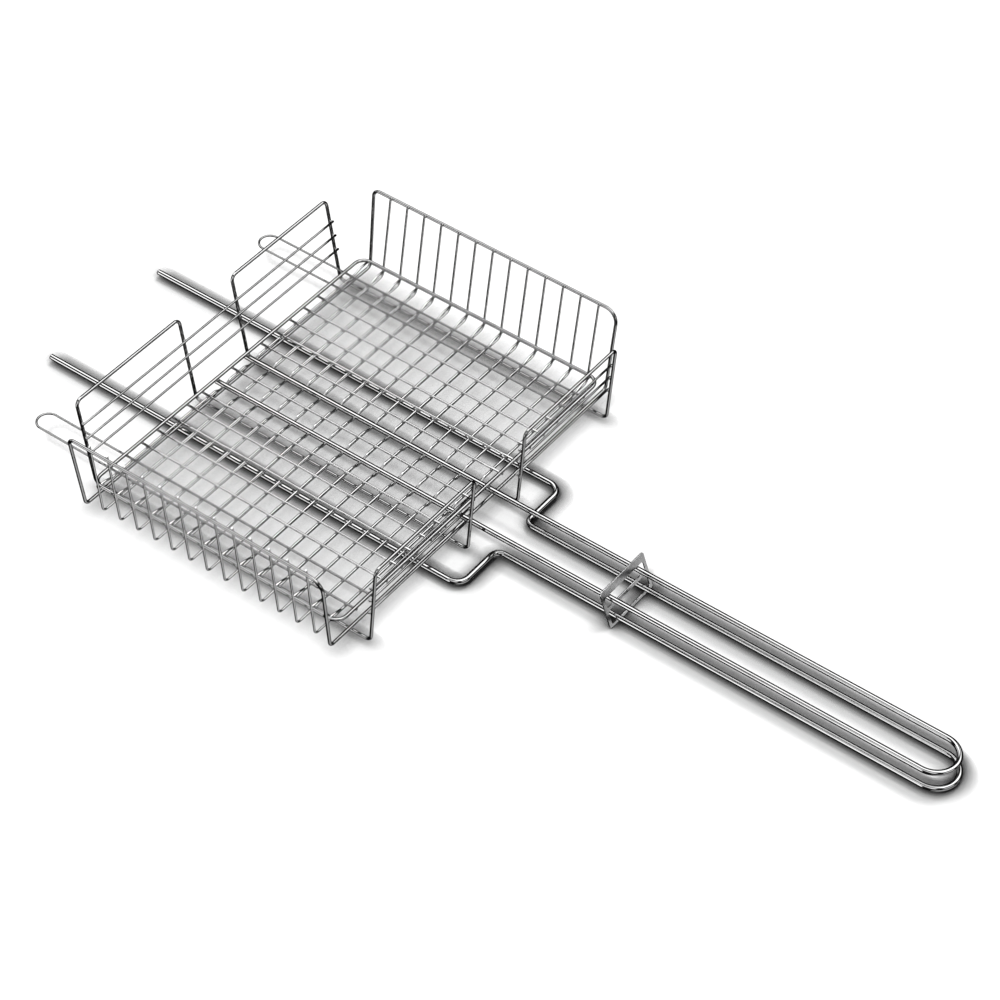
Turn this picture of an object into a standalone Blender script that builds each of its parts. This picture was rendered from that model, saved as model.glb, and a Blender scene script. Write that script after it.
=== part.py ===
"""Wire grill basket with a hinged lid grille, a long double handle and a sliding lock plate.

Units are metres. +X runs along the handle towards its end, +Y is the basket's left side, +Z is up.
The origin is in the middle of the whole object's footprint, on the surface that it stands on.
Dimensions below are in millimetres, measured from the middle of the basket at the height of its floor
wires; place() turns such a point into the object's own frame.
"""

import math

import bmesh
import bpy
from mathutils import Matrix, Vector

MM = 0.001
GAP = 0.3  # clearance between pieces that touch on the real basket

# Wire radii
THIN_R = 1.0  # grille and wall wires
FRAME_R = 1.5  # frames of the basket
LID_FRAME_R = 1.6
ROD_R = 2.5  # handle rods

# Basket
WALL_TOP_Z = 79.5
WALL_TOP_Y = 197.4
WALL_BOTTOM_Y = 187.5
WALL_REAR_TOP_X = -130.0
WALL_REAR_BOTTOM_X = -126.0
WALL_FRONT_X = 127.2
WALL_REAR_BEND = 6.0
WALL_FRONT_BEND = 12.0
CROSS_WIRE_COUNT = 13
CROSS_WIRE_PITCH = 18.3
CROSS_WIRE_TOP_Z = 81.0
CROSS_WIRE_BEND = 5.0
FLOOR_BEND = 5.0

PANEL_TOP_Z = 78.2
PANEL_INNER_Y = 34.0
PANEL_OUTER_Y = 161.0
PANEL_REAR_TOP_X = -154.3
PANEL_REAR_BOTTOM_X = -138.5
PANEL_FRONT_TOP_X = 151.0
PANEL_FRONT_BOTTOM_X = 146.8
PANEL_BEND = 5.5
LEVEL_Z = {"low": 29.0, "middle": 43.2, "high": 57.4}  # rear and front wall wires
LEVEL_OVERHANG = 1.8  # wall wires run on past the posts' middles

# Handle loops
HANDLE_HALF_Y = 19.5
LOWER_HALF_Y = 69.9  # where the lower rod runs under the basket
LOWER_REAR_X = -270.0
SHOULDER_X = 165.5
SHOULDER_BEND = 11.0
NECK_BEND = 8.0
LOWER_TIP_X = 585.3
UPPER_TIP_X = 583.0

# Lid
LID_HALF_X = 127.0
LID_HALF_Y = 177.0
LID_Z = 17.2
LID_CORNER = 10.0
LID_CROSS_COUNT = 14
LID_CROSS_FIRST_X = -121.5
LID_LONG_PITCH = 19.3
LID_LONG_SLOTS = 8  # grille positions on each side of the middle
TONGUE_SLOTS = (7, 8)  # the two outermost positions on a side are one hairpin
TONGUE_TIP_X = -214.0
HINGE_X = -141.5
END_OVERLAP = 0.6  # a grille wire ends this share of the frame wire's radius beyond its middle
DIP_FLAT = 4.1  # half length of a cross wire's dip under a handle rod, and the half length with its ramps
DIP_REACH = 9.7
RISE_FROM_Y = 160.0  # outside the last lengthwise wire, a cross wire rises to meet the frame from below
RISE_TO_Y = 168.0

# Lock plate
PLATE_WIDTH = 60.0
PLATE_HEIGHT = 34.6
PLATE_THICKNESS = 1.2
PLATE_LEAN = math.radians(21.5)
PLATE_TOP = (272.4, 23.0)  # x and z of the middle of its top edge
PLATE_CORNER = 3.0
WINDOW_HALF_Y = 26.4
WINDOW_CORNER = 2.2
UPPER_WINDOW = (7.5, 16.4)  # top and bottom, down the plate
LOWER_WINDOW = (19.6, 32.1)

# Heights that follow from how the wires lie on each other
CROSS_Z = 0.0
SIDE_FRAME_Z = FRAME_R - THIN_R
PANEL_Z = -THIN_R - GAP - FRAME_R
LOWER_ROD_Z = -THIN_R - GAP - ROD_R
LID_LONG_Z = LID_Z - LID_FRAME_R - GAP - THIN_R
LID_CROSS_Z = LID_LONG_Z - 2 * THIN_R - GAP
UPPER_ROD_Z = LID_Z - LID_FRAME_R - GAP - ROD_R
LID_DIP_Z = UPPER_ROD_Z - ROD_R - GAP - THIN_R

# Where the origin lies
ORIGIN_X = (LOWER_REAR_X + LOWER_TIP_X + ROD_R) / 2
STAND_Z = PLATE_TOP[1] - PLATE_HEIGHT * math.cos(PLATE_LEAN) - PLATE_THICKNESS / 2 * math.sin(PLATE_LEAN)

WIRE_SIDES = 2  # bevel resolution: eight sides
BEND_STEPS = 3
MOST_SETBACK = 0.49  # of a straight run, so that the bends at its two ends never meet
U_TURN_STEPS = 8


def place(x, y, z):
    """A point given in basket millimetres, in the object's frame."""
    return Vector(((x - ORIGIN_X) * MM, y * MM, (z - STAND_Z) * MM))


def clear_scene():
    for item in list(bpy.data.objects):
        bpy.data.objects.remove(item, do_unlink=True)


def new_collection(name):
    collection = bpy.data.collections.new(name)
    bpy.context.scene.collection.children.link(collection)
    return collection


def steel(name, colour, roughness):
    material = bpy.data.materials.new(name)
    material.use_nodes = True
    shader = material.node_tree.nodes["Principled BSDF"]
    shader.inputs["Base Color"].default_value = (*colour, 1.0)
    shader.inputs["Metallic"].default_value = 1.0
    shader.inputs["Roughness"].default_value = roughness
    return material


def axis_empty(name, point, collection):
    empty = bpy.data.objects.new(name, None)
    empty.location = point
    empty.empty_display_size = 0.03
    collection.objects.link(empty)
    return empty


def attach(piece, empty, collection):
    """Hang a piece, modelled in the object's frame, on an empty without moving it."""
    collection.objects.link(piece)
    piece.parent = empty
    piece.matrix_parent_inverse = Matrix.Translation(-empty.location)


def bend(before, corner, after, radius):
    """Points of the arc that rounds one corner of a wire."""
    towards, away = before - corner, after - corner
    half_turn = towards.angle(away) / 2
    setback = min(radius / math.tan(half_turn), towards.length * MOST_SETBACK, away.length * MOST_SETBACK)
    towards.normalize()
    away.normalize()
    arc_radius = setback * math.tan(half_turn)
    centre = corner + (towards + away).normalized() * (arc_radius / math.sin(half_turn))
    start, end = corner + towards * setback - centre, corner + away * setback - centre
    turn = start.angle(end)
    points = []
    for step in range(BEND_STEPS + 1):
        share = step / BEND_STEPS
        mix = start * math.sin((1 - share) * turn) + end * math.sin(share * turn)
        points.append(centre + mix / math.sin(turn))
    return points


def bent_path(corners, radii, closed):
    """Corner points in millimetres, each rounded to its radius; a radius of 0 keeps the point."""
    points = [Vector(corner) for corner in corners]
    count = len(points)
    path = []
    for i, radius in enumerate(radii):
        if radius == 0 or (not closed and i in (0, count - 1)):
            path.append(points[i])
        else:
            path += bend(points[i - 1], points[i], points[(i + 1) % count], radius)
    return path


def wire(name, path, radius, material, closed=False):
    """A round wire along a path of points in basket millimetres."""
    curve = bpy.data.curves.new(name, "CURVE")
    curve.dimensions = "3D"
    curve.bevel_depth = radius * MM
    curve.bevel_resolution = WIRE_SIDES
    curve.use_fill_caps = True
    spline = curve.splines.new("POLY")
    spline.points.add(len(path) - 1)
    for point, position in zip(spline.points, path):
        point.co = (*place(*position), 1.0)
    spline.use_cyclic_u = closed
    spline.use_smooth = True
    curve.materials.append(material)
    return bpy.data.objects.new(name, curve)


def side_wall_frame(material):
    """One closed loop: a top rail on each side wall, and the two floor bars that join them."""
    corners, radii = [], []
    for side in (-1, 1):
        rail = [
            (WALL_REAR_BOTTOM_X, side * WALL_BOTTOM_Y, SIDE_FRAME_Z),
            (WALL_REAR_TOP_X, side * WALL_TOP_Y, WALL_TOP_Z),
            (WALL_FRONT_X, side * WALL_TOP_Y, WALL_TOP_Z),
            (WALL_FRONT_X, side * WALL_BOTTOM_Y, SIDE_FRAME_Z),
        ]
        bends = [FLOOR_BEND, WALL_REAR_BEND, WALL_FRONT_BEND, FLOOR_BEND]
        corners += rail if side < 0 else rail[::-1]
        radii += bends if side < 0 else bends[::-1]
    return wire("side_wall_frame", bent_path(corners, radii, True), FRAME_R, material, True)


def panel_frame(name, side, material):
    """One closed loop: a rear rail and a front rail on posts, joined by two runs under the floor."""
    corners = []
    for x_top, x_bottom, order in (
        (PANEL_REAR_TOP_X, PANEL_REAR_BOTTOM_X, (PANEL_INNER_Y, PANEL_OUTER_Y)),
        (PANEL_FRONT_TOP_X, PANEL_FRONT_BOTTOM_X, (PANEL_OUTER_Y, PANEL_INNER_Y)),
    ):
        first, last = order
        corners += [
            (x_bottom, side * first, PANEL_Z),
            (x_top, side * first, PANEL_TOP_Z),
            (x_top, side * last, PANEL_TOP_Z),
            (x_bottom, side * last, PANEL_Z),
        ]
    return wire(name, bent_path(corners, [PANEL_BEND] * 8, True), FRAME_R, material, True)


def cross_wire(number, material):
    """One thin wire: down the right wall, across the floor, up the left wall."""
    x = (number - (CROSS_WIRE_COUNT + 1) / 2) * CROSS_WIRE_PITCH
    inset = FRAME_R + GAP + THIN_R
    slope = (WALL_TOP_Y - WALL_BOTTOM_Y) / (WALL_TOP_Z - SIDE_FRAME_Z)
    top_y = WALL_TOP_Y - inset + slope * (CROSS_WIRE_TOP_Z - WALL_TOP_Z)
    bottom_y = top_y - slope * CROSS_WIRE_TOP_Z
    corners = [
        (x, -top_y, CROSS_WIRE_TOP_Z),
        (x, -bottom_y, CROSS_Z),
        (x, bottom_y, CROSS_Z),
        (x, top_y, CROSS_WIRE_TOP_Z),
    ]
    radii = [0, CROSS_WIRE_BEND, CROSS_WIRE_BEND, 0]
    return wire(f"basket_wire_{number:02d}", bent_path(corners, radii, False), THIN_R, material)


def inner_side_x(x_top, x_bottom, z):
    """Where a wall wire lies at height z: against the inner side of a panel's leaning posts."""
    slope = (x_top - x_bottom) / (PANEL_TOP_Z - PANEL_Z)
    inset = (FRAME_R + GAP + THIN_R) * math.hypot(1.0, slope)
    return x_bottom + slope * (z - PANEL_Z) - math.copysign(inset, x_top)


def level_wires(material):
    """The wall wires at three heights: right across the rear, and on each front panel."""
    reach = PANEL_OUTER_Y + LEVEL_OVERHANG
    pieces = []
    for level, z in LEVEL_Z.items():
        x = inner_side_x(PANEL_REAR_TOP_X, PANEL_REAR_BOTTOM_X, z)
        pieces.append(wire(f"rear_wall_wire_{level}", [(x, -reach, z), (x, reach, z)], THIN_R, material))
        x = inner_side_x(PANEL_FRONT_TOP_X, PANEL_FRONT_BOTTOM_X, z)
        for side, label in ((1, "left"), (-1, "right")):
            ends = (side * (PANEL_INNER_Y - LEVEL_OVERHANG), side * reach)
            path = [(x, y, z) for y in ends]
            pieces.append(wire(f"front_{label}_wire_{level}", path, THIN_R, material))
    return pieces


def u_turn(tip_x, half_y, z):
    """Points of the half circle at the end of a handle loop, from its right rod to its left rod."""
    points = []
    for step in range(U_TURN_STEPS + 1):
        angle = math.pi * (step / U_TURN_STEPS - 0.5)
        points.append(Vector((tip_x - half_y + half_y * math.cos(angle), half_y * math.sin(angle), z)))
    return points


def lower_handle_loop(material):
    """Straight ends behind the basket, runs under its floor, shoulders, and the grip with its U end."""
    half = [
        (LOWER_REAR_X, -LOWER_HALF_Y, LOWER_ROD_Z),
        (SHOULDER_X, -LOWER_HALF_Y, LOWER_ROD_Z),
        (SHOULDER_X, -HANDLE_HALF_Y, LOWER_ROD_Z),
        (LOWER_TIP_X - HANDLE_HALF_Y, -HANDLE_HALF_Y, LOWER_ROD_Z),
    ]
    right = bent_path(half, [0, SHOULDER_BEND, NECK_BEND, 0], False)[:-1]
    left = [Vector((point.x, -point.y, point.z)) for point in reversed(right)]
    path = right + u_turn(LOWER_TIP_X, HANDLE_HALF_Y, LOWER_ROD_Z) + left
    return wire("lower_handle_loop", path, ROD_R, material)


def upper_handle_loop(material):
    """The lid's handle: two rods under the lid frame and over the cross wires, joined by a U end."""
    start_x = -LID_HALF_X - LID_FRAME_R
    right = [Vector((start_x, -HANDLE_HALF_Y, UPPER_ROD_Z))]
    left = [Vector((start_x, HANDLE_HALF_Y, UPPER_ROD_Z))]
    path = right + u_turn(UPPER_TIP_X, HANDLE_HALF_Y, UPPER_ROD_Z) + left
    return wire("upper_handle_loop", path, ROD_R, material)


def lid_frame(material):
    corners = [
        (-LID_HALF_X, -LID_HALF_Y, LID_Z),
        (LID_HALF_X, -LID_HALF_Y, LID_Z),
        (LID_HALF_X, LID_HALF_Y, LID_Z),
        (-LID_HALF_X, LID_HALF_Y, LID_Z),
    ]
    return wire("lid_frame", bent_path(corners, [LID_CORNER] * 4, True), LID_FRAME_R, material, True)


def lid_cross_wire(number, material):
    """A thin wire across the lid that dips under the two handle rods and rises to the frame at its ends."""
    x = LID_CROSS_FIRST_X + (number - 1) * CROSS_WIRE_PITCH
    half = [
        (HANDLE_HALF_Y - DIP_REACH, LID_CROSS_Z),
        (HANDLE_HALF_Y - DIP_FLAT, LID_DIP_Z),
        (HANDLE_HALF_Y + DIP_FLAT, LID_DIP_Z),
        (HANDLE_HALF_Y + DIP_REACH, LID_CROSS_Z),
        (RISE_FROM_Y, LID_CROSS_Z),
        (RISE_TO_Y, LID_LONG_Z),
        (LID_HALF_Y + LID_FRAME_R * END_OVERLAP, LID_LONG_Z),
    ]
    path = [(x, -y, z) for y, z in reversed(half)] + [(x, y, z) for y, z in half]
    return wire(f"lid_cross_wire_{number:02d}", path, THIN_R, material)


def lid_long_wires(material):
    """The thin wires along the lid; the two slots beside the middle are taken by the handle rods."""
    reach = LID_HALF_X + LID_FRAME_R * END_OVERLAP
    pieces = []
    for slot in range(-LID_LONG_SLOTS, LID_LONG_SLOTS + 1):
        if abs(slot) == 1 or abs(slot) in TONGUE_SLOTS:
            continue
        y = slot * LID_LONG_PITCH
        name = f"lid_long_wire_{len(pieces) + 1:02d}"
        pieces.append(wire(name, [(-reach, y, LID_LONG_Z), (reach, y, LID_LONG_Z)], THIN_R, material))
    return pieces


def lid_tongue(name, side, material):
    """A hairpin wire: two lengthwise wires of the lid that run on behind it and meet in a round end."""
    inner, outer = (slot * LID_LONG_PITCH for slot in TONGUE_SLOTS)
    middle, half = (inner + outer) / 2, (outer - inner) / 2
    reach = LID_HALF_X + LID_FRAME_R * END_OVERLAP
    path = [(reach, side * (middle - half), LID_LONG_Z)]
    for step in range(U_TURN_STEPS + 1):
        angle = math.pi * (step / U_TURN_STEPS - 0.5)
        x = TONGUE_TIP_X + half - half * math.cos(angle)
        path.append((x, side * (middle + half * math.sin(angle)), LID_LONG_Z))
    path.append((reach, side * (middle + half), LID_LONG_Z))
    return wire(name, path, THIN_R, material)


def rounded_outline(half_width, top, bottom, corner):
    """A rectangle with round corners: across the plate, and down it from its top edge."""
    points = []
    for sign_y, edge, start in ((1, top, 90), (-1, top, 180), (-1, bottom, 270), (1, bottom, 0)):
        centre_y = sign_y * (half_width - corner)
        centre_s = edge - corner if edge == bottom else edge + corner
        for step in range(BEND_STEPS + 1):
            angle = math.radians(start + 90 * (step / BEND_STEPS) - 90)
            points.append((centre_y + corner * math.cos(angle), centre_s - corner * math.sin(angle)))
    return points


def plate_blank(outline, thickness):
    """A flat closed slab of the given outline, centred on its own plane."""
    shape = bmesh.new()
    base = [shape.verts.new((0.0, y * MM, -s * MM)) for y, s in outline]
    face = shape.faces.new(base)
    raised = bmesh.ops.extrude_face_region(shape, geom=[face])["geom"]
    moved = [item for item in raised if isinstance(item, bmesh.types.BMVert)]
    bmesh.ops.translate(shape, verts=moved, vec=(thickness * MM, 0.0, 0.0))
    bmesh.ops.translate(shape, verts=shape.verts, vec=(-thickness * MM / 2, 0.0, 0.0))
    bmesh.ops.recalc_face_normals(shape, faces=shape.faces)
    mesh = bpy.data.meshes.new("plate")
    shape.to_mesh(mesh)
    shape.free()
    return mesh


def lock_plate(material, cutters, empty):
    """A sheet steel plate with two windows, leaning back over the four handle rods."""
    outline = rounded_outline(PLATE_WIDTH / 2, 0.0, PLATE_HEIGHT, PLATE_CORNER)
    plate = bpy.data.objects.new("lock_plate", plate_blank(outline, PLATE_THICKNESS))
    plate.data.materials.append(material)
    top = place(PLATE_TOP[0], 0.0, PLATE_TOP[1]) - empty.location
    placement = Matrix.Translation(top) @ Matrix.Rotation(-PLATE_LEAN, 4, "Y")
    for label, window in (("upper", UPPER_WINDOW), ("lower", LOWER_WINDOW)):
        hole = rounded_outline(WINDOW_HALF_Y, *window, WINDOW_CORNER)
        cutter = bpy.data.objects.new(f"{label}_window_cutter", plate_blank(hole, PLATE_THICKNESS * 4))
        cutter.hide_render = True
        cutter.display_type = "WIRE"
        cutter.parent = empty
        cutter.matrix_basis = placement
        cutters.objects.link(cutter)
        cut = plate.modifiers.new(f"{label} window", "BOOLEAN")
        cut.operation = "DIFFERENCE"
        cut.object = cutter
    plate.parent = empty
    plate.matrix_basis = placement
    return plate


def build():
    clear_scene()
    model = new_collection("grill_basket")
    cutters = new_collection("cutters")
    bright = steel("bright_wire", (0.62, 0.62, 0.63), 0.18)
    rod_steel = steel("handle_rod_steel", (0.66, 0.66, 0.67), 0.12)
    sheet = steel("sheet_steel", (0.58, 0.58, 0.59), 0.25)

    basket = axis_empty("basket_axes", Vector((0.0, 0.0, 0.0)), model)
    lid = axis_empty("lid_hinge_axis", place(HINGE_X, 0.0, LID_LONG_Z), model)
    slide = axis_empty("lock_slide_axis", place(PLATE_TOP[0], 0.0, (UPPER_ROD_Z + LOWER_ROD_Z) / 2), model)

    fixed = [lower_handle_loop(rod_steel), side_wall_frame(bright)]
    fixed += [panel_frame("left_panel_frame", 1, bright), panel_frame("right_panel_frame", -1, bright)]
    fixed += [cross_wire(number, bright) for number in range(1, CROSS_WIRE_COUNT + 1)]
    fixed += level_wires(bright)
    for piece in fixed:
        attach(piece, basket, model)

    hinged = [upper_handle_loop(rod_steel), lid_frame(bright)]
    hinged += [lid_cross_wire(number, bright) for number in range(1, LID_CROSS_COUNT + 1)]
    hinged += lid_long_wires(bright)
    hinged += [lid_tongue("lid_tongue_left", 1, bright), lid_tongue("lid_tongue_right", -1, bright)]
    for piece in hinged:
        attach(piece, lid, model)

    model.objects.link(lock_plate(sheet, cutters, slide))


build()
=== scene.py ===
"""Looks of the wire grill basket: round plated wires, spot welds and a pressed lock plate in a studio.

Lengths are in millimetres unless a comment says metres. They are measured from the middle of the basket
at the height of its floor wires, and place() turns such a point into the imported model's frame.
"""

import math
import random

import bpy
from mathutils import Matrix, Vector


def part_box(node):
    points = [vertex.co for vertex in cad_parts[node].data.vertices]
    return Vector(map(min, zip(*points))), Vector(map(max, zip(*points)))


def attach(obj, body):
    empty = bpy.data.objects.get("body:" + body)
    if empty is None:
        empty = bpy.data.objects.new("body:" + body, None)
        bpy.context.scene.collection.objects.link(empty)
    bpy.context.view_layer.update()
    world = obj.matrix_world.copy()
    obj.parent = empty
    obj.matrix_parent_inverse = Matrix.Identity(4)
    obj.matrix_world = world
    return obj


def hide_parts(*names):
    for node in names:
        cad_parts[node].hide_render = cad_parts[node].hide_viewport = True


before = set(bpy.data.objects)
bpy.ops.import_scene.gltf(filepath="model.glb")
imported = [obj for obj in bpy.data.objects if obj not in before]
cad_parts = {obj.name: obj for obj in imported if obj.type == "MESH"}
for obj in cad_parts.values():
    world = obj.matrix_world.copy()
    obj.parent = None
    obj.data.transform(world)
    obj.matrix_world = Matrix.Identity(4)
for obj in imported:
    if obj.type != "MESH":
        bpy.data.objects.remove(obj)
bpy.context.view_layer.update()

MM = 0.001
GAP = 0.3  # clearance between pieces that touch on the real basket

# Wire radii
THIN_R = 1.0
FRAME_R = 1.5
LID_FRAME_R = 1.6
ROD_R = 2.5

# Basket
WALL_TOP_Z = 79.5
WALL_TOP_Y = 197.4
WALL_BOTTOM_Y = 187.5
WALL_REAR_TOP_X = -130.0
WALL_REAR_BOTTOM_X = -126.0
WALL_FRONT_X = 127.2
WALL_REAR_BEND = 6.0
WALL_FRONT_BEND = 12.0
CROSS_COUNT = 13
CROSS_PITCH = 18.3
CROSS_TOP_Z = 81.0
FLOOR_BEND = 5.0
PANEL_TOP_Z = 78.2
PANEL_Y = (34.0, 161.0)
PANEL_REAR_X = (-154.3, -138.5)  # at the top, and at the floor
PANEL_FRONT_X = (151.0, 146.8)
PANEL_BEND = 5.5
LEVEL_Z = {"low": 29.0, "middle": 43.2, "high": 57.4}
LEVEL_OVERHANG = 1.8

# Handle loops
HANDLE_Y = 19.5
LOWER_Y = 69.9
LOWER_REAR_X = -270.0
SHOULDER_X = 165.5
SHOULDER_BEND = 11.0
NECK_BEND = 8.0
LOWER_TIP_X = 585.3
UPPER_TIP_X = 583.0

# Lid
LID_HALF_X = 127.0
LID_HALF_Y = 177.0
LID_Z = 17.2
LID_CORNER = 10.0
LID_CROSS_COUNT = 14
LID_CROSS_FIRST_X = -121.5
LONG_PITCH = 19.3
LONG_SLOTS = 8
TONGUE_SLOTS = (7, 8)
TONGUE_TIP_X = -214.0
END_OVERLAP = 0.6  # a wire's end reaches over the lid frame's middle by this share of its radius
DIP_FLAT = 4.1  # a dip under a rod is level up to here from the rod's middle, and ends at DIP_REACH
DIP_REACH = 9.7
RISE_Y = (160.0, 168.0)
LID_CROSS_BEND = 5.0

# Lock plate
PLATE_HALF_Y = 30.0
PLATE_HEIGHT = 34.6
PLATE_THICKNESS = 1.2
PLATE_LEAN = math.radians(21.5)
PLATE_TOP = (272.4, 23.0)  # X and Z of the middle of its top edge
PLATE_CORNER = 3.0
WINDOW_HALF_Y = 26.4
WINDOW_CORNER = 2.2
WINDOWS = {"upper": (7.5, 16.4), "lower": (19.6, 32.1)}  # top and bottom edge, down the plate
PLATE_EDGE = 0.28  # radius of the rolled edges
PLATE_TEXTURE_HEIGHT = 10  # the texture's units for a metre down the plate

# Spot welds: half widths across and through, and how far round and up a bead has points
WELD_ACROSS = 1.35
PANEL_WELD_ACROSS = 1.7
ROD_WELD_ACROSS = 1.5
ROD_END_WELD_ACROSS = 1.8
WELD_THICK = 0.75
WELD_POINTS = 8
WELD_LEVELS = (-0.72, 0.0, 0.72)

# Heights of the layers
SIDE_FRAME_Z = FRAME_R - THIN_R
PANEL_Z = -THIN_R - GAP - FRAME_R
LOWER_ROD_Z = -THIN_R - GAP - ROD_R
LONG_Z = LID_Z - LID_FRAME_R - GAP - THIN_R
LID_CROSS_Z = LONG_Z - 2 * THIN_R - GAP
UPPER_ROD_Z = LID_Z - LID_FRAME_R - GAP - ROD_R
DIP_Z = UPPER_ROD_Z - ROD_R - GAP - THIN_R

loop_low, loop_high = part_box("lower_handle_loop")
ORIGIN_X = LOWER_TIP_X + ROD_R - loop_high.x / MM
STAND_Z = LOWER_ROD_Z - ROD_R - loop_low.z / MM

# Rings of the round wires
BEND_STEP = math.radians(12)  # a bend gets one ring for each such angle
MOST_OF_A_SIDE = 0.49
HALF_CIRCLE_STEPS = 28
STRAIGHT_STEP = 24.0  # a wire that isn't quite straight gets a ring this often
WAVES = (1.2, 3.4)  # how many waves such a wire has
LONG_STRAIGHT = 30.0  # a straight longer than this gets one more ring close to each end
SUPPORT = 1.5  # how close
CUT_CHAMFER = 0.22  # of the wire's radius
THIN_SIDES, FRAME_SIDES, ROD_SIDES = 12, 16, 24

rng = random.Random(7)


def place(point):
    """A point of this script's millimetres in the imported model's frame."""
    x, y, z = point
    return Vector(((x - ORIGIN_X) * MM, y * MM, (z - STAND_Z) * MM))


# ---------------------------------------------------------------- paths


def bend(before, corner, after, radius):
    """Points of the arc that rounds one corner of a wire, and takes less than half of each side."""
    towards, away = before - corner, after - corner
    half_turn = towards.angle(away) / 2
    most = min(towards.length, away.length) * MOST_OF_A_SIDE
    setback = min(radius / math.tan(half_turn), most)
    towards.normalize()
    away.normalize()
    arc_radius = setback * math.tan(half_turn)
    centre = corner + (towards + away).normalized() * (arc_radius / math.sin(half_turn))
    start, end = corner + towards * setback - centre, corner + away * setback - centre
    turn = start.angle(end)
    steps = max(2, math.ceil(turn / BEND_STEP))
    points = []
    for step in range(steps + 1):
        share = step / steps
        mix = start * math.sin((1 - share) * turn) + end * math.sin(share * turn)
        points.append(centre + mix / math.sin(turn))
    return points


def bent_path(corners, radii, closed=False):
    """Points of a wire that goes through the corners, with each corner rounded by its own radius."""
    points = [Vector(corner) for corner in corners]
    count = len(points)
    path = []
    for i, radius in enumerate(radii):
        if radius == 0 or (not closed and i in (0, count - 1)):
            path.append(points[i])
        else:
            path += bend(points[i - 1], points[i], points[(i + 1) % count], radius)
    return path


def half_circle(centre_x, centre_y, radius, z, forward):
    """Points round the end of a loop, from its -Y side to its +Y side."""
    points = []
    for step in range(HALF_CIRCLE_STEPS + 1):
        angle = math.pi * (step / HALF_CIRCLE_STEPS - 0.5)
        x = centre_x + forward * radius * math.cos(angle)
        points.append(Vector((x, centre_y + radius * math.sin(angle), z)))
    return points


def wavered(path, sideways, upwards):
    """Points along a straight wire that wanders by a fraction of a millimetre, as the real ones do."""
    start, end = Vector(path[0]), Vector(path[-1])
    length = (end - start).length
    steps = max(2, round(length / STRAIGHT_STEP))
    across = (end - start).normalized().cross(Vector((0.0, 0.0, 1.0)))
    waves = [(rng.uniform(*WAVES), rng.uniform(0, math.tau)) for _ in range(4)]
    points = []
    for step in range(steps + 1):
        share = step / steps
        fade = math.sin(math.pi * share) ** 0.5
        side, lift = (
            sum(math.sin(math.tau * turns * share + phase) for turns, phase in pair) / 2
            for pair in (waves[:2], waves[2:])
        )
        shift = across * (sideways * side * fade) + Vector((0.0, 0.0, upwards * lift * fade))
        points.append(start.lerp(end, share) + shift)
    return points


# ---------------------------------------------------------------- meshes


def ring_frames(points, closed):
    """A tangent and a normal at each point; the normals turn as little as possible along the wire."""
    count = len(points)
    tangents = []
    for i in range(count):
        before = points[i - 1] if closed or i > 0 else points[i]
        after = points[(i + 1) % count] if closed or i < count - 1 else points[i]
        tangents.append((after - before).normalized())
    helper = Vector((0, 0, 1)) if abs(tangents[0].z) < 0.9 else Vector((1, 0, 0))
    normal = (helper - tangents[0] * helper.dot(tangents[0])).normalized()
    normals = [normal]
    for i in range(1, count):
        turn = tangents[i - 1].rotation_difference(tangents[i])
        normal = turn @ normal
        normals.append((normal - tangents[i] * normal.dot(tangents[i])).normalized())
    if closed:
        last = tangents[-1].rotation_difference(tangents[0]) @ normals[-1]
        twist = math.atan2(last.cross(normals[0]).dot(tangents[0]), last.dot(normals[0]))
        for i in range(count):
            normals[i] = Matrix.Rotation(twist * i / count, 3, tangents[i]) @ normals[i]
    return tangents, normals


def chamfered_ends(points, radii, radius):
    """Adds a small chamfer ring at both cut ends of a wire."""
    chamfer = radius * CUT_CHAMFER
    first = (points[1] - points[0]).normalized() * chamfer
    last = (points[-2] - points[-1]).normalized() * chamfer
    points = [points[0], points[0] + first, *points[1:-1], points[-1] + last, points[-1]]
    radii = [radius - chamfer, radius, *radii[1:-1], radius, radius - chamfer]
    return points, radii


def supported(path, closed):
    """Adds a ring close to both ends of each long straight, which keeps a bend's shading in the bend."""
    points = []
    for i, point in enumerate(path):
        points.append(point)
        after = path[(i + 1) % len(path)]
        length = (after - point).length
        if length > LONG_STRAIGHT and (closed or i < len(path) - 1):
            points += [point.lerp(after, share) for share in (SUPPORT / length, 1 - SUPPORT / length)]
    return points


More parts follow.
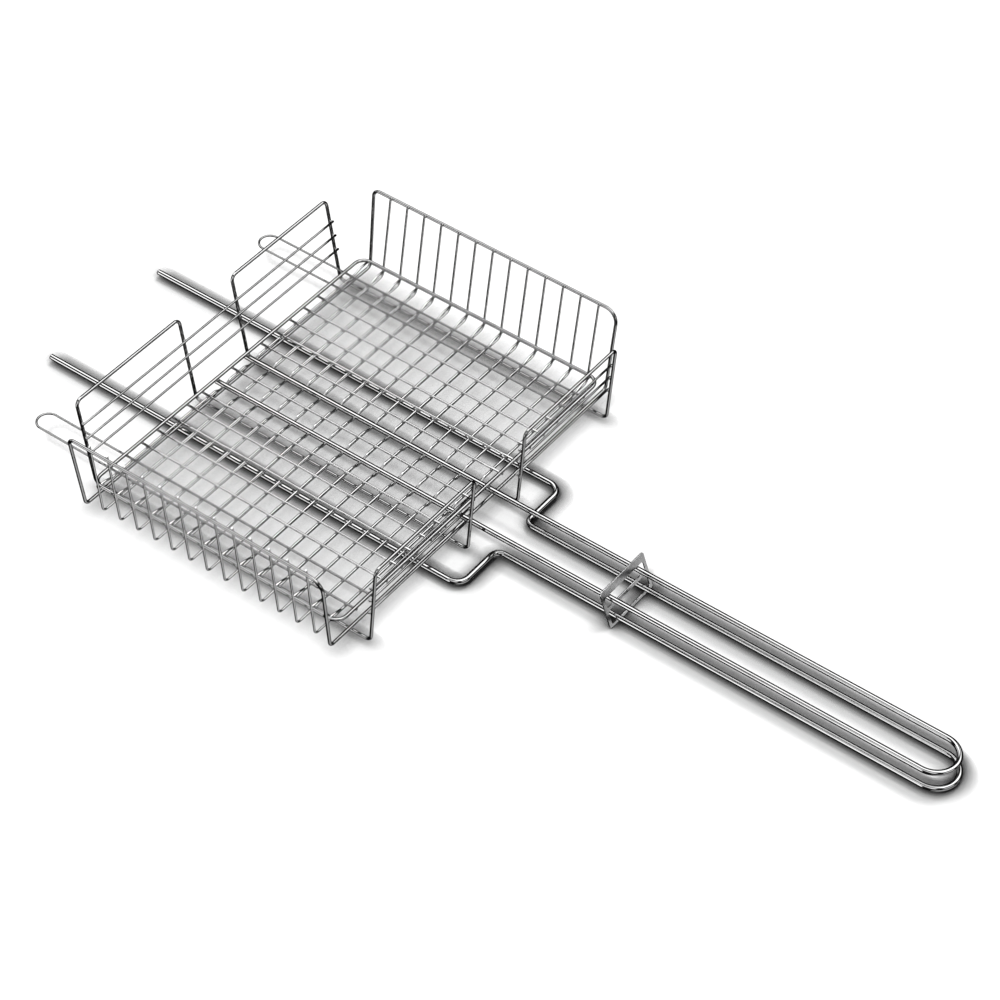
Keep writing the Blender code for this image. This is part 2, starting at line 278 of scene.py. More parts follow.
def tube(name, path, radius, sides, closed=False):
    """A closed round wire along a path, with its length and its way round as texture coordinates."""
    points = [place(point) for point in supported([Vector(point) for point in path], closed)]
    radius *= MM
    radii = [radius] * len(points)
    if not closed:
        points, radii = chamfered_ends(points, radii, radius)
    tangents, normals = ring_frames(points, closed)
    vertices, lengths, run = [], [], 0.0
    for i, point in enumerate(points):
        if i:
            run += (point - points[i - 1]).length
        lengths.append(run)
        across = tangents[i].cross(normals[i])
        for k in range(sides):
            angle = math.tau * k / sides
            vertices.append(point + (normals[i] * math.cos(angle) + across * math.sin(angle)) * radii[i])
    faces, uvs, flat = [], [], []
    count = len(points)
    lengths.append(run + (points[0] - points[-1]).length)
    for i in range(count if closed else count - 1):
        after = (i + 1) % count
        for k in range(sides):
            turn = (k + 1) % sides
            faces.append((i * sides + k, i * sides + turn, after * sides + turn, after * sides + k))
            around = (k / sides, (k + 1) / sides)
            uvs += [
                (lengths[i], around[0]),
                (lengths[i], around[1]),
                (lengths[i + 1], around[1]),
                (lengths[i + 1], around[0]),
            ]
            flat.append(not closed and i in (0, count - 2))
    if not closed:
        for start, turned in ((0, True), ((count - 1) * sides, False)):
            cap = [start + k for k in range(sides)]
            faces.append(tuple(reversed(cap)) if turned else tuple(cap))
            for k in range(sides):
                uvs.append((math.cos(math.tau * k / sides) * radius, math.sin(math.tau * k / sides)))
            flat.append(True)
    mesh = bpy.data.meshes.new(name)
    mesh.from_pydata(vertices, [], faces)
    layer = mesh.uv_layers.new(name="along")
    for loop, uv in zip(layer.data, uvs):
        loop.uv = uv
    for polygon, is_flat in zip(mesh.polygons, flat):
        polygon.use_smooth = not is_flat
    mesh.update()
    piece = bpy.data.objects.new(name, mesh)
    bpy.context.scene.collection.objects.link(piece)
    return piece


def nugget_mesh(name, spots):
    """Spot welds as small flattened beads; a spot is (centre, axis between the wires, across, thick)."""
    vertices, faces = [], []
    for centre, direction, across, thick in spots:
        centre = place(centre)
        axis = Vector(direction).normalized()
        side = axis.orthogonal().normalized()
        other = axis.cross(side)
        base = len(vertices)
        vertices.append(centre - axis * (thick * MM))
        for level in WELD_LEVELS:
            reach = across * MM * math.sqrt(1 - level * level)
            for k in range(WELD_POINTS):
                angle = math.tau * k / WELD_POINTS
                spread = (side * math.cos(angle) + other * math.sin(angle)) * reach
                vertices.append(centre + axis * (level * thick * MM) + spread)
        vertices.append(centre + axis * (thick * MM))
        top = len(vertices) - 1
        for k in range(WELD_POINTS):
            turn = (k + 1) % WELD_POINTS
            faces.append((base, base + 1 + turn, base + 1 + k))
            for row in range(len(WELD_LEVELS) - 1):
                low, high = base + 1 + row * WELD_POINTS, base + 1 + (row + 1) * WELD_POINTS
                faces.append((low + k, low + turn, high + turn, high + k))
            last = base + 1 + (len(WELD_LEVELS) - 1) * WELD_POINTS
            faces.append((last + k, last + turn, top))
    mesh = bpy.data.meshes.new(name)
    mesh.from_pydata(vertices, [], faces)
    for polygon in mesh.polygons:
        polygon.use_smooth = True
    mesh.update()
    piece = bpy.data.objects.new(name, mesh)
    bpy.context.scene.collection.objects.link(piece)
    return piece


# ---------------------------------------------------------------- materials

CLOUD_SCALE = 38.0  # per metre
PIT_SCALE = 1400.0  # per metre
RELIEF_STRENGTH = 0.35


def new_node(tree, kind, **inputs):
    """A shader node with some of its inputs set; an underscore stands for a space in an input's name."""
    node = tree.nodes.new(kind)
    for name, value in inputs.items():
        node.inputs[name.replace("_", " ")].default_value = value
    return node


def ramp(tree, source, low, high, value_low, value_high):
    """Maps a texture value from one range to another, clamped at both ends."""
    node = tree.nodes.new("ShaderNodeMapRange")
    node.inputs["From Min"].default_value = low
    node.inputs["From Max"].default_value = high
    node.inputs["To Min"].default_value = value_low
    node.inputs["To Max"].default_value = value_high
    tree.links.new(source, node.inputs["Value"])
    return node.outputs["Result"]


def plated_steel(name, colour, dull_colour, smooth, rough, drawn, relief_height):
    """Bright plating: cloudy polish, lines drawn along the piece, and fine pits.

    drawn is (along, around) for the lines' frequency; relief_height is in metres.
    """
    material = bpy.data.materials.new(name)
    material.use_nodes = True
    tree = material.node_tree
    shader = tree.nodes["Principled BSDF"]
    shader.inputs["Metallic"].default_value = 1.0
    # black edge tint: the reflection darkens towards each piece's grazing rims, painted shade for dark
    # outlines
    shader.inputs["Specular Tint"].default_value = (0.0, 0.0, 0.0, 1.0)
    coordinates = tree.nodes.new("ShaderNodeTexCoord")
    along = tree.nodes.new("ShaderNodeUVMap")
    along.uv_map = "along"
    stretch = new_node(tree, "ShaderNodeMapping", Scale=(drawn[0], drawn[1], 1.0))
    tree.links.new(along.outputs["UV"], stretch.inputs["Vector"])
    lines = new_node(tree, "ShaderNodeTexNoise", Scale=1.0, Detail=5.0, Roughness=0.65)
    tree.links.new(stretch.outputs["Vector"], lines.inputs["Vector"])
    clouds = new_node(tree, "ShaderNodeTexNoise", Scale=CLOUD_SCALE, Detail=4.0, Roughness=0.55)
    tree.links.new(coordinates.outputs["Object"], clouds.inputs["Vector"])
    pits = new_node(tree, "ShaderNodeTexVoronoi", Scale=PIT_SCALE)
    tree.links.new(coordinates.outputs["Object"], pits.inputs["Vector"])

    tone = tree.nodes.new("ShaderNodeMix")
    tone.data_type = "RGBA"
    tone.inputs["A"].default_value = (*colour, 1.0)
    tone.inputs["B"].default_value = (*dull_colour, 1.0)
    tree.links.new(ramp(tree, clouds.outputs["Fac"], 0.42, 0.68, 0.0, 1.0), tone.inputs["Factor"])
    tree.links.new(tone.outputs["Result"], shader.inputs["Base Color"])

    mottled = ramp(tree, clouds.outputs["Fac"], 0.35, 0.7, smooth, (smooth + rough) / 2)
    streaks = ramp(tree, lines.outputs["Fac"], 0.45, 0.75, 0.0, (rough - smooth) / 2)
    total = tree.nodes.new("ShaderNodeMath")
    tree.links.new(mottled, total.inputs[0])
    tree.links.new(streaks, total.inputs[1])
    tree.links.new(total.outputs["Value"], shader.inputs["Roughness"])

    relief = tree.nodes.new("ShaderNodeMath")
    tree.links.new(lines.outputs["Fac"], relief.inputs[0])
    tree.links.new(ramp(tree, pits.outputs["Distance"], 0.0, 0.12, -0.6, 0.0), relief.inputs[1])
    bump = new_node(tree, "ShaderNodeBump", Strength=RELIEF_STRENGTH, Distance=relief_height)
    tree.links.new(relief.outputs["Value"], bump.inputs["Height"])
    tree.links.new(bump.outputs["Normal"], shader.inputs["Normal"])
    return material


# All the wires are one chrome plating with a grey for each group. The darker greys of the frames, rods,
# wall wires and tongues, and the slightly darker cross wires, are painted shade.
THIN_CHROME = plated_steel(
    "thin_wire_chrome", (0.66, 0.66, 0.66), (0.57, 0.57, 0.57),
    smooth=0.03, rough=0.10, drawn=(90, 5), relief_height=3e-6,
)
# painted shade: frame wires darker than the thin wires
SHADED_FRAME_CHROME = plated_steel(
    "frame_wire_shaded_chrome", (0.40, 0.40, 0.40), (0.34, 0.34, 0.34),
    smooth=0.03, rough=0.10, drawn=(70, 7), relief_height=3e-6,
)
CROSS_CHROME = plated_steel(
    "cross_wire_chrome", (0.60, 0.60, 0.60), (0.52, 0.52, 0.52),
    smooth=0.03, rough=0.10, drawn=(90, 5), relief_height=3e-6,
)
# painted shade: level wires and tongues darker than the thin wires
SHADED_OUTER_CHROME = plated_steel(
    "wall_wire_shaded_chrome", (0.33, 0.33, 0.33), (0.28, 0.28, 0.28),
    smooth=0.03, rough=0.10, drawn=(90, 5), relief_height=3e-6,
)
# painted shade: rods darker than the thin wires
SHADED_ROD_CHROME = plated_steel(
    "rod_shaded_chrome", (0.47, 0.47, 0.47), (0.41, 0.41, 0.41),
    smooth=0.04, rough=0.12, drawn=(55, 11), relief_height=3e-6,
)
SHEET_CHROME = plated_steel(
    "sheet_chrome", (0.76, 0.76, 0.765), (0.66, 0.66, 0.66),
    smooth=0.20, rough=0.36, drawn=(260, 24), relief_height=5e-6,
)
WELD_CHROME = plated_steel(
    "weld_chrome", (0.70, 0.70, 0.70), (0.55, 0.55, 0.55),
    smooth=0.14, rough=0.34, drawn=(300, 9), relief_height=12e-6,
)

# ---------------------------------------------------------------- pieces

shadow_casters = bpy.data.collections.new("shadow_casters")  # what the two lights cast shadows of


def finish_piece(piece, body, node, material):
    """Gives a piece its material and body, and hides the CAD node that it stands for."""
    piece.data.materials.append(material)
    if material in (SHADED_ROD_CHROME, SHEET_CHROME):
        shadow_casters.objects.link(piece)
    if node:
        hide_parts(node)
    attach(piece, body)
    return piece


def thin(node, body, path, material=THIN_CHROME):
    """A 2 mm wire with cut ends."""
    return finish_piece(tube(node + "_round", path, THIN_R, THIN_SIDES), body, node, material)


def framing(node, body, path, radius):
    """A closed frame of heavier wire."""
    piece = tube(node + "_round", path, radius, FRAME_SIDES, closed=True)
    return finish_piece(piece, body, node, SHADED_FRAME_CHROME)


def rod(node, body, path):
    """A rod of the handle."""
    piece = tube(node + "_round", path, ROD_R, ROD_SIDES)
    return finish_piece(piece, body, node, SHADED_ROD_CHROME)


def side_wall_frame():
    """The top rails of both side walls, their corners, and the two wires under the floor's ends."""
    corners, radii = [], []
    for side in (-1, 1):
        rail = [
            (WALL_REAR_BOTTOM_X, side * WALL_BOTTOM_Y, SIDE_FRAME_Z),
            (WALL_REAR_TOP_X, side * WALL_TOP_Y, WALL_TOP_Z),
            (WALL_FRONT_X, side * WALL_TOP_Y, WALL_TOP_Z),
            (WALL_FRONT_X, side * WALL_BOTTOM_Y, SIDE_FRAME_Z),
        ]
        bends = [FLOOR_BEND, WALL_REAR_BEND, WALL_FRONT_BEND, FLOOR_BEND]
        corners += rail if side < 0 else rail[::-1]
        radii += bends if side < 0 else bends[::-1]
    framing("side_wall_frame", "basket", bent_path(corners, radii, True), FRAME_R)


def panel_frame(node, side):
    """A frame that runs under the floor and stands up as one half of the rear and front walls."""
    corners = []
    for (x_top, x_bottom), (first, last) in ((PANEL_REAR_X, PANEL_Y), (PANEL_FRONT_X, PANEL_Y[::-1])):
        corners += [
            (x_bottom, side * first, PANEL_Z),
            (x_top, side * first, PANEL_TOP_Z),
            (x_top, side * last, PANEL_TOP_Z),
            (x_bottom, side * last, PANEL_Z),
        ]
    framing(node, "basket", bent_path(corners, [PANEL_BEND] * 8, True), FRAME_R)


def cross_wire_x(number):
    return (number - (CROSS_COUNT + 1) / 2) * CROSS_PITCH


def cross_wire_ends():
    """Distance from the middle of a basket cross wire's top end and of its foot."""
    slope = (WALL_TOP_Y - WALL_BOTTOM_Y) / (WALL_TOP_Z - SIDE_FRAME_Z)
    top_y = WALL_TOP_Y - (FRAME_R + GAP + THIN_R) + slope * (CROSS_TOP_Z - WALL_TOP_Z)
    return top_y, top_y - slope * CROSS_TOP_Z


def basket_cross_wires():
    top_y, bottom_y = cross_wire_ends()
    for number in range(1, CROSS_COUNT + 1):
        x = cross_wire_x(number)
        half = [(bottom_y, 0.0), (top_y, CROSS_TOP_Z)]
        corners = [(x, -y, z) for y, z in reversed(half)] + [(x, y, z) for y, z in half]
        path = bent_path(corners, [0, FLOOR_BEND, FLOOR_BEND, 0])
        thin(f"basket_wire_{number:02d}", "basket", path, CROSS_CHROME)


def inner_side_x(panel_x, z):
    """Where a thin wire's middle lies against the inside of a leaning panel, at one height."""
    slope = (panel_x[0] - panel_x[1]) / (PANEL_TOP_Z - PANEL_Z)
    inset = (FRAME_R + GAP + THIN_R) * math.hypot(1.0, slope)
    return panel_x[1] + slope * (z - PANEL_Z) - math.copysign(inset, panel_x[0])


def level_wires():
    """The level wires of the rear wall, and of both halves of the front wall."""
    reach = PANEL_Y[1] + LEVEL_OVERHANG
    for level, z in LEVEL_Z.items():
        x = inner_side_x(PANEL_REAR_X, z)
        path = [(x, -reach, z), (x, reach, z)]
        path = wavered(path, sideways=0.1, upwards=0.15)
        thin(f"rear_wall_wire_{level}", "basket", path, SHADED_OUTER_CHROME)
        x = inner_side_x(PANEL_FRONT_X, z)
        for side, label in ((1, "left"), (-1, "right")):
            path = [(x, side * (PANEL_Y[0] - LEVEL_OVERHANG), z), (x, side * reach, z)]
            path = wavered(path, sideways=0.05, upwards=0.1)
            thin(f"front_{label}_wire_{level}", "basket", path, SHADED_OUTER_CHROME)


def lower_handle_loop():
    """The basket's rod: under the floor, in at the shoulders, and round the end of the handle."""
    half = [
        (LOWER_REAR_X, -LOWER_Y, LOWER_ROD_Z),
        (SHOULDER_X, -LOWER_Y, LOWER_ROD_Z),
        (SHOULDER_X, -HANDLE_Y, LOWER_ROD_Z),
        (LOWER_TIP_X - HANDLE_Y, -HANDLE_Y, LOWER_ROD_Z),
    ]
    right = bent_path(half, [0, SHOULDER_BEND, NECK_BEND, 0])[:-1]
    left = [Vector((point.x, -point.y, point.z)) for point in reversed(right)]
    end = half_circle(LOWER_TIP_X - HANDLE_Y, 0.0, HANDLE_Y, LOWER_ROD_Z, 1)
    rod("lower_handle_loop", "basket", right + end + left)


def upper_handle_loop():
    """The lid's rod: over the grille and round the end of the handle."""
    start_x = -LID_HALF_X - LID_FRAME_R
    end = half_circle(UPPER_TIP_X - HANDLE_Y, 0.0, HANDLE_Y, UPPER_ROD_Z, 1)
    first, last = (Vector((start_x, side * HANDLE_Y, UPPER_ROD_Z)) for side in (-1, 1))
    rod("upper_handle_loop", "lid", [first, *end, last])


def lid_frame():
    """The closed frame round the grille."""
    corners = [
        (-LID_HALF_X, -LID_HALF_Y, LID_Z),
        (LID_HALF_X, -LID_HALF_Y, LID_Z),
        (LID_HALF_X, LID_HALF_Y, LID_Z),
        (-LID_HALF_X, LID_HALF_Y, LID_Z),
    ]
    framing("lid_frame", "lid", bent_path(corners, [LID_CORNER] * 4, True), LID_FRAME_R)


def lid_cross_x(number):
    return LID_CROSS_FIRST_X + (number - 1) * CROSS_PITCH


def lid_cross_wires():
    """Thin wires across the lid; each dips under the two rods in soft bends."""
    for number in range(1, LID_CROSS_COUNT + 1):
        x = lid_cross_x(number)
        half = [
            (HANDLE_Y - DIP_REACH, LID_CROSS_Z),
            (HANDLE_Y - DIP_FLAT, DIP_Z),
            (HANDLE_Y + DIP_FLAT, DIP_Z),
            (HANDLE_Y + DIP_REACH, LID_CROSS_Z),
            (RISE_Y[0], LID_CROSS_Z),
            (RISE_Y[1], LONG_Z),
            (LID_HALF_Y + LID_FRAME_R * END_OVERLAP, LONG_Z),
        ]
        corners = [(x, -y, z) for y, z in reversed(half)] + [(x, y, z) for y, z in half]
        radii = [0] + [LID_CROSS_BEND] * (len(corners) - 2) + [0]
        thin(f"lid_cross_wire_{number:02d}", "lid", bent_path(corners, radii), CROSS_CHROME)


def lid_long_slots():
    """The lengthwise grille positions that hold a plain wire, from right to left."""
    taken = (1, *TONGUE_SLOTS)
    return [slot for slot in range(-LONG_SLOTS, LONG_SLOTS + 1) if abs(slot) not in taken]


def lid_long_wires():
    """Thin wires along the lid, over the cross wires."""
    reach = LID_HALF_X + LID_FRAME_R * END_OVERLAP
    for number, slot in enumerate(lid_long_slots(), 1):
        y = slot * LONG_PITCH
        path = wavered([(-reach, y, LONG_Z), (reach, y, LONG_Z)], sideways=0.25, upwards=0.05)
        thin(f"lid_long_wire_{number:02d}", "lid", path)


def lid_tongue(node, side):
    """A hairpin of thin wire that takes two places of the grille and sticks out behind the lid."""
    middle = sum(TONGUE_SLOTS) / 2 * LONG_PITCH
    half = LONG_PITCH / 2
    reach = LID_HALF_X + LID_FRAME_R * END_OVERLAP
    end = half_circle(TONGUE_TIP_X + half, side * middle, half, LONG_Z, -1)
    first, last = (Vector((reach, side * middle + across, LONG_Z)) for across in (-half, half))
    shadow_casters.objects.link(thin(node, "lid", [first, *end, last], SHADED_OUTER_CHROME))


# ---------------------------------------------------------------- spot welds


def stacked(x, y, low_z, low_r, high_z, high_r, across=WELD_ACROSS):
    """A weld between two wires that cross one above the other."""
    contact = ((low_z + low_r) + (high_z - high_r)) / 2
    return ((x, y, contact), (0, 0, 1), across, WELD_THICK)


def basket_welds():
    """Where the basket's wires cross, and where the walls' wires lie against their frames."""
    spots = []
    runs = [(side * y, PANEL_Z, FRAME_R) for side in (-1, 1) for y in PANEL_Y]
    runs += [(side * LOWER_Y, LOWER_ROD_Z, ROD_R) for side in (-1, 1)]
    for y, z, radius in runs:
        for number in range(1, CROSS_COUNT + 1):
            spots.append(stacked(cross_wire_x(number), y, z, radius, 0.0, THIN_R))
        for x in (WALL_REAR_BOTTOM_X, WALL_FRONT_X):
            spots.append(stacked(x, y, z, radius, SIDE_FRAME_Z, FRAME_R, PANEL_WELD_ACROSS))
    slope = (WALL_TOP_Y - WALL_BOTTOM_Y) / (WALL_TOP_Z - SIDE_FRAME_Z)
    inset = FRAME_R + GAP / 2
    for side in (-1, 1):
        for number in range(1, CROSS_COUNT + 1):
            spot = (cross_wire_x(number), side * (WALL_TOP_Y - inset), WALL_TOP_Z + slope * inset)
            spots.append((spot, (0, side, 0), WELD_ACROSS, WELD_THICK))
    for level_z in LEVEL_Z.values():
        for panel_x in (PANEL_REAR_X, PANEL_FRONT_X):
            x = inner_side_x(panel_x, level_z) + math.copysign(THIN_R + GAP / 2, panel_x[0])
            for y in PANEL_Y:
                for side in (-1, 1):
                    spots.append(((x, side * y, level_z), (1, 0, 0), WELD_ACROSS, WELD_THICK))
    return spots


def lid_welds():
    """Where the lid's wires cross each other, the frame and the handle's rods."""
    spots = []
    slots = lid_long_slots() + [side * slot for side in (-1, 1) for slot in TONGUE_SLOTS]
    for slot in slots:
        y = slot * LONG_PITCH
        for number in range(1, LID_CROSS_COUNT + 1):
            spots.append(stacked(lid_cross_x(number), y, LID_CROSS_Z, THIN_R, LONG_Z, THIN_R))
        for x in (-LID_HALF_X, LID_HALF_X):
            spots.append(stacked(x, y, LONG_Z, THIN_R, LID_Z, LID_FRAME_R))
    for side in (-1, 1):
        for number in range(1, LID_CROSS_COUNT + 1):
            x = lid_cross_x(number)
            y = side * HANDLE_Y
            spots.append(stacked(x, y, DIP_Z, THIN_R, UPPER_ROD_Z, ROD_R, ROD_WELD_ACROSS))
            spots.append(stacked(x, side * LID_HALF_Y, LONG_Z, THIN_R, LID_Z, LID_FRAME_R))
        for x in (-LID_HALF_X, LID_HALF_X):
            y = side * HANDLE_Y
            spots.append(stacked(x, y, UPPER_ROD_Z, ROD_R, LID_Z, LID_FRAME_R, ROD_END_WELD_ACROSS))
    return spots


# ---------------------------------------------------------------- lock plate


def rounded_rectangle(half_width, top, bottom, corner):
    """A rectangle with round corners, as (across, down the plate) pairs."""
    points = []
    steps = 6
    for sign_y, edge, start in ((1, top, 0), (-1, top, 90), (-1, bottom, 180), (1, bottom, 270)):
        centre_y = sign_y * (half_width - corner)
        centre_s = edge + corner if edge == top else edge - corner
        for step in range(steps + 1):
            angle = math.radians(start + 90 * step / steps)
            points.append((centre_y + corner * math.cos(angle), centre_s - corner * math.sin(angle)))
    return points


def lock_plate():
    """Pressed sheet with two windows; its edges are rolled over by a small radius."""
    edge = PLATE_EDGE * MM
    curve = bpy.data.curves.new("lock_plate_sheet", "CURVE")
    curve.dimensions = "2D"
    curve.fill_mode = "BOTH"
    curve.extrude = PLATE_THICKNESS * MM / 2 - edge
    curve.bevel_depth = edge
    curve.bevel_resolution = 2
    curve.offset = -edge
    outlines = [rounded_rectangle(PLATE_HALF_Y, 0.0, PLATE_HEIGHT, PLATE_CORNER)]
    outlines += [rounded_rectangle(WINDOW_HALF_Y, *window, WINDOW_CORNER) for window in WINDOWS.values()]
    for outline in outlines:
        spline = curve.splines.new("POLY")
        spline.points.add(len(outline) - 1)
        for point, (across, down) in zip(spline.points, outline):
            point.co = (across * MM, -down * MM, 0.0, 1.0)
        spline.use_cyclic_u = True
    shape = bpy.data.objects.new("lock_plate_shape", curve)
    bpy.context.scene.collection.objects.link(shape)
    mesh = bpy.data.meshes.new_from_object(shape)
    bpy.data.objects.remove(shape)
    upright = Matrix(((0, 0, 1, 0), (1, 0, 0, 0), (0, 1, 0, 0), (0, 0, 0, 1)))
    top = place((PLATE_TOP[0], 0.0, PLATE_TOP[1]))
    mesh.transform(Matrix.Translation(top) @ Matrix.Rotation(-PLATE_LEAN, 4, "Y") @ upright)
    layer = mesh.uv_layers.get("along") or mesh.uv_layers.new(name="along")
    for uv_loop, corner in zip(layer.data, mesh.loops):
        spot = mesh.vertices[corner.vertex_index].co
        uv_loop.uv = (spot.y, (spot.z - top.z) * PLATE_TEXTURE_HEIGHT)
    piece = bpy.data.objects.new("lock_plate_sheet", mesh)
    bpy.context.scene.collection.objects.link(piece)
    mesh.materials.clear()
    finish_piece(piece, "lock", "lock_plate", SHEET_CHROME)


# ---------------------------------------------------------------- studio


def soft_sun(name, toward, spread, strength):
    """A soft light, equally bright everywhere; toward points at it, and spread is in degrees."""
    light = bpy.data.lights.new(name, "SUN")
    light.angle = math.radians(spread)
    light.energy = strength
    thing = bpy.data.objects.new(name, light)
    thing.rotation_euler = Vector(toward).to_track_quat("Z", "Y").to_euler()
    bpy.context.scene.collection.objects.link(thing)
    thing.visible_glossy = False
    return thing


def direction_panel(tree, parts, panel, level):
    """A soft-edged bright panel of the studio, which fills a range of each part of the direction."""
    inside = None
    for part, (low, high) in zip(parts, panel):
        for edge, below, above in ((low, 0.0, 1.0), (high, 1.0, 0.0)):
            if abs(edge) >= 1:
                continue
            share = ramp(tree, part, edge - PANEL_EDGE, edge + PANEL_EDGE, below, above)
            inside = share if inside is None else joined(tree, "MULTIPLY", inside, share)
    return joined(tree, "MULTIPLY", inside, level)


def joined(tree, operation, first, second):
    """The result of a two-input operation of which the second input is a number or another output."""
    node = tree.nodes.new("ShaderNodeMath")
    node.operation = operation
    tree.links.new(first, node.inputs[0])
    if isinstance(second, float):
        node.inputs[1].default_value = second
    else:
        tree.links.new(second, node.inputs[1])
    return node.outputs["Value"]


REFLECTED_PANELS = (  # ranges of X, Y and Z of the direction, and the panel's level
    (((-0.85, -0.14), (-0.19, 0.46), (0.60, 1.0)), 2.8),
    (((-0.14, 0.64), (-0.19, 0.80), (0.50, 1.0)), 2.8),
    (((-0.80, -0.10), (-1.0, -0.78), (-0.33, 0.26)), 2.5),
    (((-0.30, 0.60), (-0.85, -0.45), (0.30, 0.80)), 1.6),
    (((0.70, 0.90), (0.50, 0.68), (-0.42, -0.12)), 0.7),
    (((0.25, 1.0), (-0.60, 0.50), (-1.0, -0.50)), 0.85),
    (((0.88, 1.0), (-0.40, 0.30), (0.05, 1.0)), 1.2),
    (((-1.0, -0.88), (-0.40, 0.40), (0.05, 1.0)), 1.2),
)
PANEL_EDGE = 0.04  # half the width of a panel's soft edge
REFLECTED_BASE = 0.015  # what the metal sees between the panels
ROOM_LEVEL = 0.16  # what lights the floor from all round
SKY_LEVEL = 1.0  # what the camera sees beyond the floor
FLOOR_HALF = 6.0  # metres
FLOOR_DROP = 0.0005  # metres
PAINTED_SHADE_SAMPLES = 10
FLOOR_PAINTED_SHADE = (  # painted shade on the floor: the side that darkens a point of the floor, how far it reaches, and how strongly
    ((0.0, 0.0, 1.0), 0.025, 1.6),
    ((0.0, -0.85, 0.5), 0.015, 6.0),
)
SHADOW_LIGHTS = (  # name, the direction it comes from, its spread in degrees, and its strength
    ("front_light", (0.03, -0.55, 1.0), 14.0, 2.3),
    ("rear_light", (-0.03, 0.45, 1.0), 20.0, 1.3),
)


def painted_shade_near_wires(tree, side, reach):
    """Painted shade for the floor: falls below 1 where wires lie on one side of a point of the floor,
    close to it.
    """
    look = tree.nodes.new("ShaderNodeCombineXYZ")
    for part, value in zip(look.inputs, side):
        part.default_value = value
    painted_shade_node = new_node(tree, "ShaderNodeAmbientOcclusion", Distance=reach)
    painted_shade_node.samples = PAINTED_SHADE_SAMPLES
    tree.links.new(look.outputs["Vector"], painted_shade_node.inputs["Normal"])
    return painted_shade_node.outputs["AO"]


def surroundings():
    """White for the eye, a little light for the floor, and for the metal soft panels in a dark room."""
    world = bpy.data.worlds.new("studio")
    bpy.context.scene.world = world
    world.use_nodes = True
    tree = world.node_tree
    tree.nodes.clear()
    coordinates = tree.nodes.new("ShaderNodeTexCoord")
    direction = coordinates.outputs["Generated"]
    split = tree.nodes.new("ShaderNodeSeparateXYZ")
    tree.links.new(direction, split.inputs["Vector"])
    level = None
    for ranges, brightness in REFLECTED_PANELS:
        panel = direction_panel(tree, split.outputs, ranges, brightness)
        level = panel if level is None else joined(tree, "ADD", level, panel)
    panels = new_node(tree, "ShaderNodeBackground", Color=(1.0, 1.0, 1.0, 1.0))
    tree.links.new(joined(tree, "ADD", level, REFLECTED_BASE), panels.inputs["Strength"])
    room = new_node(tree, "ShaderNodeBackground", Color=(1.0, 1.0, 1.0, 1.0), Strength=ROOM_LEVEL)
    sky = new_node(tree, "ShaderNodeBackground", Color=(1.0, 1.0, 1.0, 1.0), Strength=SKY_LEVEL)
    path = tree.nodes.new("ShaderNodeLightPath")
    seen = tree.nodes.new("ShaderNodeMixShader")
    tree.links.new(path.outputs["Is Camera Ray"], seen.inputs["Fac"])
    tree.links.new(room.outputs["Background"], seen.inputs[1])
    tree.links.new(sky.outputs["Background"], seen.inputs[2])
    mixed = tree.nodes.new("ShaderNodeMixShader")
    tree.links.new(path.outputs["Is Glossy Ray"], mixed.inputs["Fac"])
    tree.links.new(seen.outputs["Shader"], mixed.inputs[1])
    tree.links.new(panels.outputs["Background"], mixed.inputs[2])
    output = tree.nodes.new("ShaderNodeOutputWorld")
    tree.links.new(mixed.outputs["Shader"], output.inputs["Surface"])


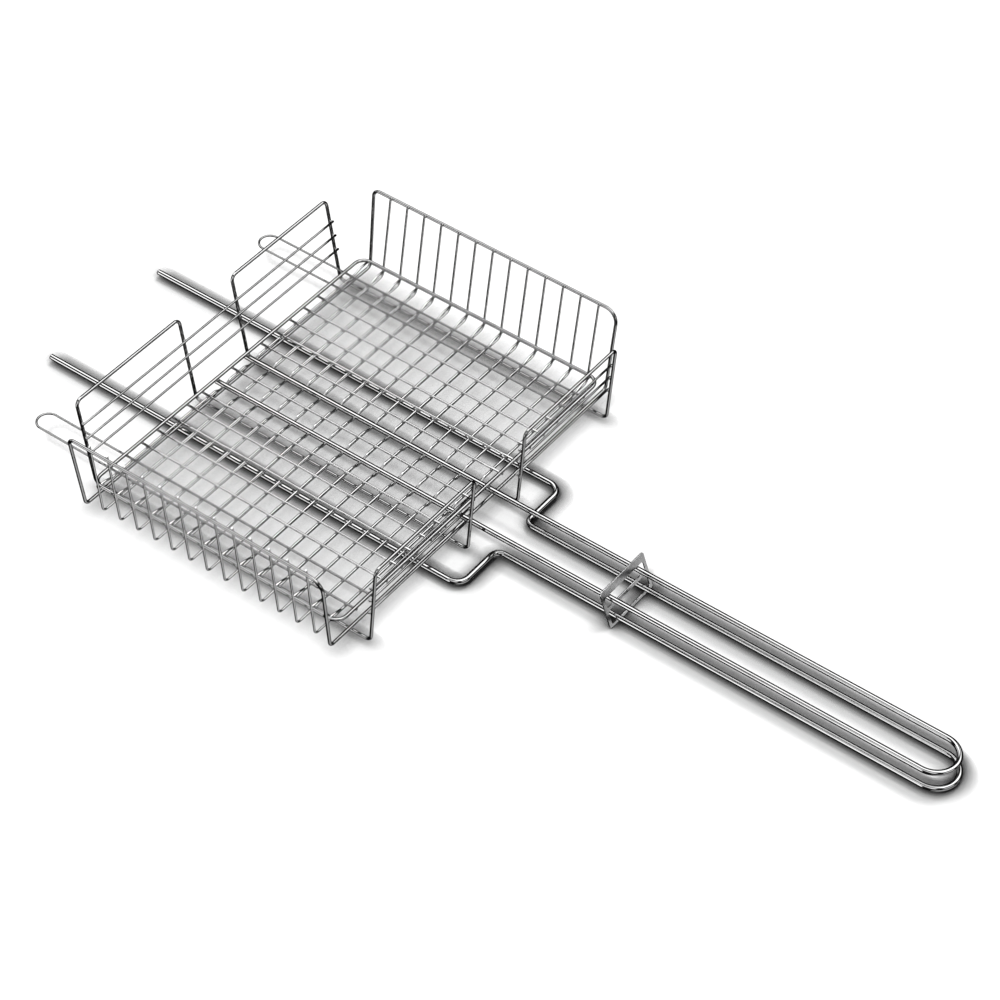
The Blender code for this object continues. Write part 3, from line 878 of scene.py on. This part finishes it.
def floor_sheet():
    """A white floor whose colour darkens close to the wires: painted shade."""
    paper_painted_shade = bpy.data.materials.new("paper_painted_shade")
    paper_painted_shade.use_nodes = True
    tree = paper_painted_shade.node_tree
    shader = tree.nodes["Principled BSDF"]
    shade = None
    for side, reach, strength in FLOOR_PAINTED_SHADE:
        level = joined(tree, "POWER", painted_shade_near_wires(tree, side, reach), strength)
        shade = level if shade is None else joined(tree, "MULTIPLY", shade, level)
    # the floor's colour carries the painted shade close to the wires
    tree.links.new(shade, shader.inputs["Base Color"])
    shader.inputs["Roughness"].default_value = 0.9
    shader.inputs["Specular IOR Level"].default_value = 0.1
    mesh = bpy.data.meshes.new("floor")
    corners = [(x * FLOOR_HALF, y * FLOOR_HALF, 0) for x, y in ((-1, -1), (1, -1), (1, 1), (-1, 1))]
    mesh.from_pydata(corners, [], [(0, 1, 2, 3)])
    mesh.materials.append(paper_painted_shade)
    floor = bpy.data.objects.new("floor", mesh)
    bpy.context.scene.collection.objects.link(floor)
    floor.location.z = -FLOOR_DROP
    floor.visible_glossy = False


def studio():
    surroundings()
    floor_sheet()
    for name, toward, spread, strength in SHADOW_LIGHTS:
        lamp = soft_sun(name, toward, spread, strength)
        lamp.light_linking.blocker_collection = shadow_casters
    bpy.context.scene.view_settings.view_transform = "Standard"


CAMERA_AZIMUTH = math.radians(34.552)  # from the -Y side towards +X
CAMERA_ELEVATION = math.radians(45.053)
CAMERA_ROLL = 0.0453  # radians
CAMERA_DISTANCE = 2.68  # metres
CAMERA_AIM = (135.79, 24.79, 0.0)
LENS, SENSOR = 117.835, 36.0
FARTHEST_SEEN = 50.0  # metres


def camera():
    """The view: a long lens from above the basket's right front, turned by a small roll."""
    level = math.cos(CAMERA_ELEVATION)
    across, towards = math.sin(CAMERA_AZIMUTH) * level, math.cos(CAMERA_AZIMUTH) * level
    back = Vector((across, -towards, math.sin(CAMERA_ELEVATION)))
    data = bpy.data.cameras.new("camera")
    data.lens = LENS
    data.sensor_width = SENSOR
    data.clip_end = FARTHEST_SEEN
    thing = bpy.data.objects.new("camera", data)
    thing.location = place(CAMERA_AIM) + back * CAMERA_DISTANCE
    turn = Matrix.Rotation(CAMERA_ROLL, 3, "Z")
    thing.rotation_euler = ((-back).to_track_quat("-Z", "Y").to_matrix() @ turn).to_euler()
    bpy.context.scene.collection.objects.link(thing)
    bpy.context.scene.camera = thing


def build():
    side_wall_frame()
    panel_frame("left_panel_frame", 1)
    panel_frame("right_panel_frame", -1)
    basket_cross_wires()
    level_wires()
    lower_handle_loop()
    upper_handle_loop()
    lid_frame()
    lid_cross_wires()
    lid_long_wires()
    lid_tongue("lid_tongue_left", 1)
    lid_tongue("lid_tongue_right", -1)
    for body, spots in (("basket", basket_welds()), ("lid", lid_welds())):
        finish_piece(nugget_mesh(body + "_welds", spots), body, None, WELD_CHROME)
    lock_plate()
    studio()
    camera()


build()
